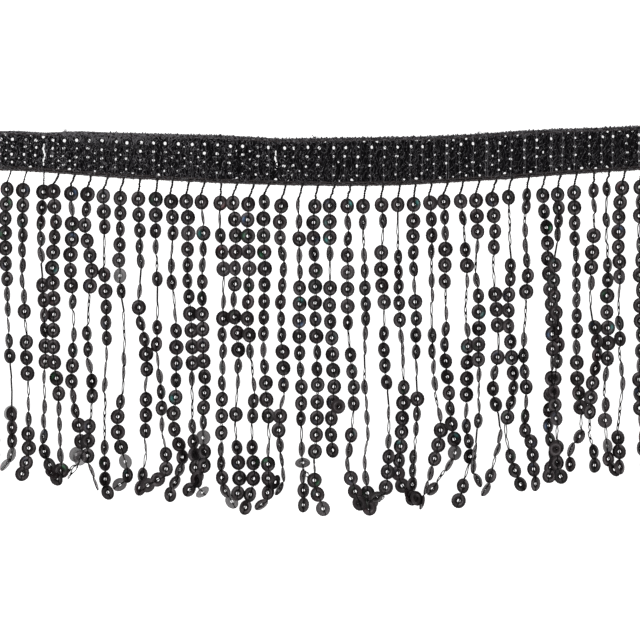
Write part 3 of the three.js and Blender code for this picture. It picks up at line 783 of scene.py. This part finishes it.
# The knitted ground: one open sheet with its gaps cut through.
NX, NY = 800, 52
gx = np.linspace(X0, X1, NX + 1)
gv = np.linspace(0.0, 1.0, NY + 1)
flat = on_band(np.repeat(gx, NY + 1), np.tile(gv, NX + 1))
inside = np.zeros(len(flat), bool)
for hx, hy, a, b, lean in holes:
    near = np.flatnonzero((np.abs(flat[:, 0] - hx) < a + b + 0.5) & (np.abs(flat[:, 1] - hy) < a + b + 0.5))
    d = flat[near] - (hx, hy)
    ca, sa = math.cos(lean), math.sin(lean)
    q = np.stack([d[:, 0] * ca + d[:, 1] * sa, -d[:, 0] * sa + d[:, 1] * ca], 1)
    r = np.sqrt((q[:, 0] / a) ** 2 + (q[:, 1] / b) ** 2)
    edge_width = 0.19 / min(a, b)
    inner = r < 1 - edge_width
    rim = (~inner) & (r < 1 + edge_width)
    inside[near[inner]] = True
    q[rim] /= np.maximum(r[rim], 1e-6)[:, None]
    flat[near[rim]] = np.stack([q[rim, 0] * ca - q[rim, 1] * sa, q[rim, 0] * sa + q[rim, 1] * ca], 1) + (hx, hy)
idx = np.arange(len(flat)).reshape(NX + 1, NY + 1)
quads = np.stack([idx[:-1, :-1], idx[1:, :-1], idx[1:, 1:], idx[:-1, 1:]], -1).reshape(-1, 4)
centre = flat[quads].mean(1)
drop = inside[quads].any(1)
for hx, hy, a, b, lean in holes:
    near = np.flatnonzero((np.abs(centre[:, 0] - hx) < a + b) & (np.abs(centre[:, 1] - hy) < a + b))
    d = centre[near] - (hx, hy)
    ca, sa = math.cos(lean), math.sin(lean)
    q = np.stack([d[:, 0] * ca + d[:, 1] * sa, -d[:, 0] * sa + d[:, 1] * ca], 1)
    drop[near[(q[:, 0] / a) ** 2 + (q[:, 1] / b) ** 2 < 0.98]] = True
quads = quads[~drop]
used = np.unique(quads)
remap = -np.ones(len(flat), int)
remap[used] = np.arange(len(used))
flat = flat[used]
z = 1.16 + 0.10 * np.sin(flat[:, 0] * 2 * math.pi / 1.6) * np.sin(flat[:, 1] * 2 * math.pi / 1.35)
ground = new_object("band_ground", np.column_stack([flat, z]), remap[quads], cloth_mat)
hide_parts("header")


def clear_of_holes(xy, margin):
    """Moves points out of the band's gaps, by more than margin."""
    out = xy.copy()
    for _ in range(2):
        d = out[:, None, :] - holes[None, :, :2]
        r = np.sqrt((d[:, :, 0] / (holes[None, :, 2] + margin)) ** 2 + (d[:, :, 1] / (holes[None, :, 3] + margin)) ** 2)
        k = r.argmin(1)
        rk = r[np.arange(len(out)), k]
        push = rk < 1
        v = d[np.arange(len(out)), k][push]
        v[:, 0] += np.where(v[:, 0] >= 0, 0.12, -0.12)
        size = holes[k[push], 2:4] + margin
        rr = np.sqrt((v[:, 0] / size[:, 0]) ** 2 + (v[:, 1] / size[:, 1]) ** 2)
        out[push] = holes[k[push], :2] + v / np.maximum(rr, 1e-6)[:, None]
    return out


# Weft yarn runs up and down the band, over the ground, round the gaps.
COURSE = 1.48
heap = Heap()
starts = np.arange(X0 + 0.5, X1 - 0.5, COURSE / 2)
M = 28
vv = np.linspace(0.03, 0.975, M)
for i, x in enumerate(starts):
    ph = rng.uniform(0, 2 * math.pi)
    amp = rng.uniform(0.25, 0.8)
    xs = x + amp * np.sin(vv * 2 * math.pi * rng.uniform(2.2, 3.8) + ph) + rng.normal(0, 0.12, M)
    xs = np.clip(xs, X0 + 0.3, X1 - 0.3)
    xy = clear_of_holes(on_band(xs, vv), 0.20)
    over = np.sin(vv * 2 * math.pi * 4.6 + ph * 1.7 + i * math.pi)
    zz = 1.34 + 0.22 * over + rng.normal(0, 0.05, M)
    r = 0.19 * rng.uniform(0.8, 1.2) * (1 + 0.25 * np.sin(vv * 60 + ph))
    v, f = tubes(np.column_stack([xy, zz])[None], r[None], 4)
    rise = 0.35 * np.clip((vv - 0.86) / 0.1, 0, 1)
    heap.add(v, f, tone=np.repeat(np.clip(rng.uniform(0.0, 0.5) + 0.10 * (x < -45) + rise + rng.normal(0, 0.15, M), 0, 1), 4))
# Picot loops along the top edge, lower on the left where the yarn is brushed.
n = int((X1 - X0 - 1.0) / 1.05)
for i in range(n):
    x = X0 + 0.6 + i * 1.05 + rng.normal(0, 0.16)
    h = rng.uniform(0.40, 1.02) * (0.45 if x < -88 else 1.0)
    w = rng.uniform(0.16, 0.42)
    a = np.linspace(-0.9, math.pi + 0.9, 9)
    px = np.clip(x + w * np.cos(a) + 0.25 * rng.normal() * np.sin(a), X0 + 0.2, X1 - 0.2)
    py = top_at(px) + MIDDLE_Y - 0.46 + h * np.sin(a)
    pz = 1.2 + 0.25 * np.cos(a + rng.uniform(-1, 1))
    v, f = tubes(np.column_stack([px, py, pz])[None], rng.uniform(0.15, 0.25), 4)
    heap.add(v, f, tone=rng.uniform(0.45, 1.0))
v, f, extra = heap.arrays()
weft = new_object("band_weft", v, f, yarn_mat, floats={"tone": extra["tone"]})


def twisted(offset, edge_fn, radius, spread, z, tone, heap, lay=1.48, step=0.31):
    """A two-ply cord along one of the band's edges."""
    x = np.arange(X0 + 0.2, X1 - 0.2, step)
    y = edge_fn(x) + MIDDLE_Y + offset + 0.06 * np.sin(x * 1.3) + 0.05 * np.sin(x * 3.1 + 1)
    for ply in (0, 1):
        a = x * 2 * math.pi / lay + ply * math.pi
        path = np.column_stack([x, y + spread * np.cos(a), z + spread * np.sin(a)])
        r = radius * (1 + 0.16 * np.sin(x * 5.3 + ply) + 0.10 * rng.normal(0, 1, len(x)))
        v, f = tubes(path[None], r[None], 5)
        # Painted light and shade: each ply's tone is paler where the twist brings it on top and darker where it lies
        # beneath.
        heap.add(v, f, tone=np.repeat(np.clip(tone + 0.25 * np.sin(a) + rng.normal(0, 0.10, len(x)), 0, 1), 5))


heap = Heap()
twisted(0.02, low_at, 0.36, 0.30, 0.80, 0.42, heap)      # selvedge
twisted(1.00, low_at, 0.19, 0.22, 1.30, 0.40, heap)      # pale stitch line above it
twisted(-0.50, top_at, 0.18, 0.22, 1.05, 0.30, heap)     # top edge
twisted(-1.20, top_at, 0.15, 0.20, 1.35, 0.55, heap)
v, f, extra = heap.arrays()
edges = new_object("band_edges", v, f, cord_mat, floats={"tone": extra["tone"]})

# Fine pale fibres curl over the yarn, and stand off the edges.
heap = Heap()


def fibres(centre, length, bend, direction, z, radius, tone, points=5):
    """Short curled fibres, each an arc about its centre."""
    n = len(centre)
    s = np.linspace(-0.5, 0.5, points)
    ang = direction[:, None] + bend[:, None] * s[None]
    dx = np.cumsum(np.cos(ang), 1) * (length / points)[:, None]
    dy = np.cumsum(np.sin(ang), 1) * (length / points)[:, None]
    dx -= dx.mean(1, keepdims=True)
    dy -= dy.mean(1, keepdims=True)
    zz = z[:, None] - 0.8 * s[None] ** 2
    paths = np.stack([centre[:, :1] + dx, centre[:, 1:] + dy, zz + 0 * dx], 2)
    r = radius[:, None] * (1 - 0.8 * np.abs(s))[None]
    v, f = tubes(paths, r, 3)
    heap.add(v, f, tone=np.repeat(np.clip(tone, 0, 1), points * 3))


def free_of_holes(xy, share):
    d = xy[:, None, :] - holes[None, :, :2]
    r = np.sqrt((d[:, :, 0] / (holes[None, :, 2] + 0.1)) ** 2 + (d[:, :, 1] / (holes[None, :, 3] + 0.1)) ** 2).min(1)
    return (r > 1.4) | (rng.random(len(xy)) < share)


count = 3700
fx = rng.uniform(X0 + 0.5, X1 - 0.5, count)
spot = on_band(fx, rng.uniform(0.04, 0.97, count))
spot = spot[free_of_holes(spot, 0.05)]
n = len(spot)
left = np.interp(spot[:, 0], (-60, 30), (1.0, 0.0))
fibres(spot, rng.uniform(0.8, 2.5, n), rng.uniform(0.5, 3.0, n) * rng.choice((-1, 1), n) * (0.4 + 0.6 * left),
       np.where(rng.random(n) < left + 0.3, rng.normal(math.pi / 2, 0.9, n), rng.normal(0.95, 0.25, n)),
       1.55 + rng.uniform(0, 0.35, n), rng.uniform(0.07, 0.20, n), rng.beta(0.8, 1.6, n) * (0.76 + 1.1 * left))
# Bright fibre ends show as specks all over the yarn.
count = 1150
fx = rng.uniform(X0 + 0.8, X1 - 0.8, count)
spot = on_band(fx, rng.uniform(0.07, 0.95, count))
spot = spot[free_of_holes(spot, 0.2)]
n = len(spot)
fibres(spot, rng.uniform(0.30, 0.75, n), rng.normal(0, 1.0, n), rng.normal(1.1, 0.8, n),
       1.75 + rng.uniform(0, 0.2, n), rng.uniform(0.09, 0.15, n), rng.uniform(0.75, 1.0, n))
# The top edge is worked in paler yarn that lies along it.
count = 1150
fx = rng.uniform(X0 + 0.8, X1 - 0.8, count)
fx[:200] = rng.uniform(X0 + 0.8, -45, 200)
n = count
fibres(on_band(fx, 1.0 - np.abs(rng.normal(0.02, 0.045, n))), rng.uniform(0.7, 1.9, n), rng.normal(0, 1.3, n),
       rng.normal(0, 0.5, n), 1.5 + rng.uniform(0, 0.3, n), rng.uniform(0.10, 0.19, n),
       rng.uniform(0.4, 1.1, n) + np.interp(fx, (-70, -20), (0.35, 0.0)))
count = 620
fx = rng.uniform(X0 + 0.8, X1 - 0.8, count)
n = count
fibres(on_band(fx, rng.normal(0.015, 0.024, n)), rng.uniform(0.7, 1.8, n), rng.normal(0, 1.0, n),
       rng.normal(0, 0.35, n), 1.45 + rng.uniform(0, 0.3, n), rng.uniform(0.09, 0.17, n),
       rng.uniform(0.1, 0.75, n) + np.interp(fx, (-60, 0), (0.2, 0.0)))
# A brushed, paler stretch over the top row of sequins on the left.
count = 360
fx = np.clip(rng.normal(-88.0, 11.0, count), -114.6, -61)
fv = rng.uniform(0.62, 0.95, count)
spot = on_band(fx, fv)
spot = spot[free_of_holes(spot, 0.04)]
n = len(spot)
near = columns[np.abs(spot[:, :1] - columns[None]).argmin(1)]
hub = on_band(near, np.full(n, ROWS[0]))
out = spot - hub
reach = rng.uniform(1.3, 3.0, n)
long = rng.uniform(0.9, 3.6, n)
fibres(hub + unit(out) * reach[:, None], long, -long / reach * rng.uniform(0.7, 1.15, n),
       np.arctan2(out[:, 1], out[:, 0]) - math.pi / 2 + rng.normal(0, 0.18, n), 1.75 + rng.uniform(0, 0.3, n),
       rng.uniform(0.065, 0.12, n), np.where(out[:, 1] > -0.6, rng.uniform(0.7, 2.2, n), 0.2))
# Fibres that close some of the holes.
for hx, hy in hazy:
    m = 9
    fibres(np.array([[hx, hy]]) + rng.normal(0, 0.28, (m, 2)), rng.uniform(0.9, 1.7, m), rng.normal(0, 1.2, m),
           rng.uniform(0, math.pi, m), 1.5 + rng.uniform(0, 0.3, m), 0.085 * rng.uniform(0.8, 1.3, m), rng.uniform(0.2, 0.9, m))
for edge_fn, sgn, count, lo, hi in ((top_at, 1, 820, 0.35, 1.15), (low_at, -1, 420, 0.4, 1.0)):
    fx = rng.uniform(X0 + 0.4, X1 - 0.4, count)
    ln = rng.uniform(lo, hi, count) * np.where((fx < -88) & (sgn > 0), 0.6, 1.0)
    a = rng.normal(0, 0.7, count)
    y0 = edge_fn(fx) + MIDDLE_Y - sgn * 0.15
    s = np.linspace(0, 1, 4)
    px = fx[:, None] + np.sin(a)[:, None] * ln[:, None] * s[None] + rng.normal(0, 0.15, count)[:, None] * s[None] ** 2
    py = y0[:, None] + sgn * np.cos(a)[:, None] * ln[:, None] * s[None]
    pz = rng.uniform(0.4, 1.3, count)[:, None] + 0 * px
    v, f = tubes(np.stack([px, py, pz], 2), 0.075 * (1 - 0.7 * s)[None].repeat(count, 0), 3)
    heap.add(v, f, tone=np.repeat(rng.uniform(0.0, 0.5, count), 12))
for x in (-106.1, -2.1, 65.6):     # tufts on the top edge
    for _ in range(14):
        a = rng.normal(0.15, 0.5)
        ln = rng.uniform(0.9, 1.9)
        s = np.linspace(0, 1, 5)
        px = x + rng.normal(0, 0.35) + np.sin(a) * ln * s + 0.5 * rng.normal() * s ** 2
        py = top_at(x) + MIDDLE_Y - 0.2 + np.cos(a) * ln * s
        pz = 0.9 + 0.4 * s
        v, f = tubes(np.column_stack([px, py, pz])[None], (0.09 * (1 - 0.6 * s))[None], 4)
        heap.add(v, f, tone=rng.uniform(0.0, 0.35))
v, f, extra = heap.arrays()
fuzz = new_object("band_fuzz", v, f, fuzz_mat, floats={"tone": extra["tone"]})

# Thin threads run down the columns of holes, palest on the right; some
# holes have one down their middle.
heap = Heap()
for ci, x in enumerate(columns):
    right = np.interp(x, (-20, 45), (0, 1))
    for k in range(2):
        if rng.random() > ((0.9 if k else 0.25) if x > 12 else 0.30):
            continue
        m = 26
        v_ = np.linspace(0.05, 0.93, m)
        zig = np.where(np.arange(m) % 2 == 0, 1, -1) * rng.uniform(0.05, 0.2)
        xs = x + (-0.2 if k else 0.6) * rng.uniform(0.2, 1.2) + zig + 0.15 * np.sin(v_ * 9 + ci)
        xy = clear_of_holes(on_band(np.clip(xs, X0 + 0.3, X1 - 0.3), v_), 0.08)
        path = np.column_stack([xy, 1.62 + 0.10 * np.sin(np.arange(m) * 1.9)])
        v, f = tubes(path[None], 0.085 + 0.02 * right, 4)
        heap.add(v, f, tone=np.repeat(np.clip(rng.uniform(0.25, 0.6) + 0.3 * right + rng.normal(0, 0.22, m), 0, 1), 4))
for hx, hy, b in splits:
    s = np.linspace(-1, 1, 7)
    lean = rng.normal(0, 0.18)
    path = np.column_stack([hx + lean * s + 0.08 * np.sin(s * 4), hy + s * (b + 0.5), 1.5 - 0.25 * s ** 2])
    v, f = tubes(path[None], 0.17 * rng.uniform(0.8, 1.3), 5)
    heap.add(v, f, tone=rng.uniform(0.1, 0.5))
v, f, extra = heap.arrays()
chains = new_object("band_chains", v, f, fuzz_mat, floats={"tone": extra["tone"]})

# ---- table, light and camera ------------------------------------------------
mesh = bpy.data.meshes.new("table_top")
mesh.from_pydata([(-3, -3, 0), (3, -3, 0), (3, 3, 0), (-3, 3, 0)], [], [(0, 1, 2, 3)])
mat, nt, bsdf = node_material("pale_table")
bsdf.inputs["Roughness"].default_value = 0.8
bsdf.inputs["Specular IOR Level"].default_value = 0.2
grain = texture(nt, "ShaderNodeTexNoise", Scale=40.0, Detail=3.0)
nt.links.new(coords(nt), grain.inputs["Vector"])
nt.links.new(mixed(nt, grain.outputs[0], (0.80, 0.80, 0.80), (0.84, 0.84, 0.84)), bsdf.inputs["Base Color"])
bsdf.inputs["Emission Color"].default_value = (1, 1, 1, 1)
bsdf.inputs["Emission Strength"].default_value = 0.95
mesh.materials.append(mat)
table_top = bpy.data.objects.new("table_top", mesh)
bpy.context.scene.collection.objects.link(table_top)
table_top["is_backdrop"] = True

world = bpy.data.worlds.new("studio")
bpy.context.scene.world = world
world.use_nodes = True
nt = world.node_tree
nt.nodes.clear()
out = nt.nodes.new("ShaderNodeOutputWorld")
back = nt.nodes.new("ShaderNodeBackground")
tc = nt.nodes.new("ShaderNodeTexCoord")
xyz = nt.nodes.new("ShaderNodeSeparateXYZ")
nt.links.new(tc.outputs["Generated"], xyz.inputs[0])
level = nt.nodes.new("ShaderNodeMapRange")
level.interpolation_type = "SMOOTHSTEP"
nt.links.new(xyz.outputs["Z"], level.inputs[0])
for i, value in enumerate((0.88, 0.97, 0.58, 0.08)):
    level.inputs[1 + i].default_value = value
nt.links.new(level.outputs[0], back.inputs["Strength"])
back.inputs["Color"].default_value = (1, 1, 1, 1)
nt.links.new(back.outputs[0], out.inputs[0])


def softbox(name, at, size, power):
    light = bpy.data.lights.new(name, "AREA")
    light.shape = "RECTANGLE"
    light.size, light.size_y = size
    light.energy = power
    obj = bpy.data.objects.new(name, light)
    obj.location = at
    obj.rotation_euler = (Vector((0, 0, 0)) - Vector(at)).to_track_quat("-Z", "Y").to_euler()
    bpy.context.scene.collection.objects.link(obj)


softbox("soft_left", (-1.1, 0.5, 0.9), (0.9, 0.7), 6.0)
softbox("soft_right", (1.2, -0.2, 0.9), (0.9, 0.7), 4.0)

camera = bpy.data.cameras.new("camera")
camera.sensor_width = 36.0
HIGH = 1.6
camera.lens = 36.0 * HIGH / 0.26667
camera.clip_end = 20.0
cam = bpy.data.objects.new("camera", camera)
cam.location = (0.0, -0.00008, HIGH)
cam.rotation_euler = (0.0, 0.0, 0.0)
bpy.context.scene.collection.objects.link(cam)
bpy.context.scene.camera = cam
bpy.context.scene.view_settings.view_transform = "Standard"
bpy.context.scene.view_settings.look = "None"

lo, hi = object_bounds()
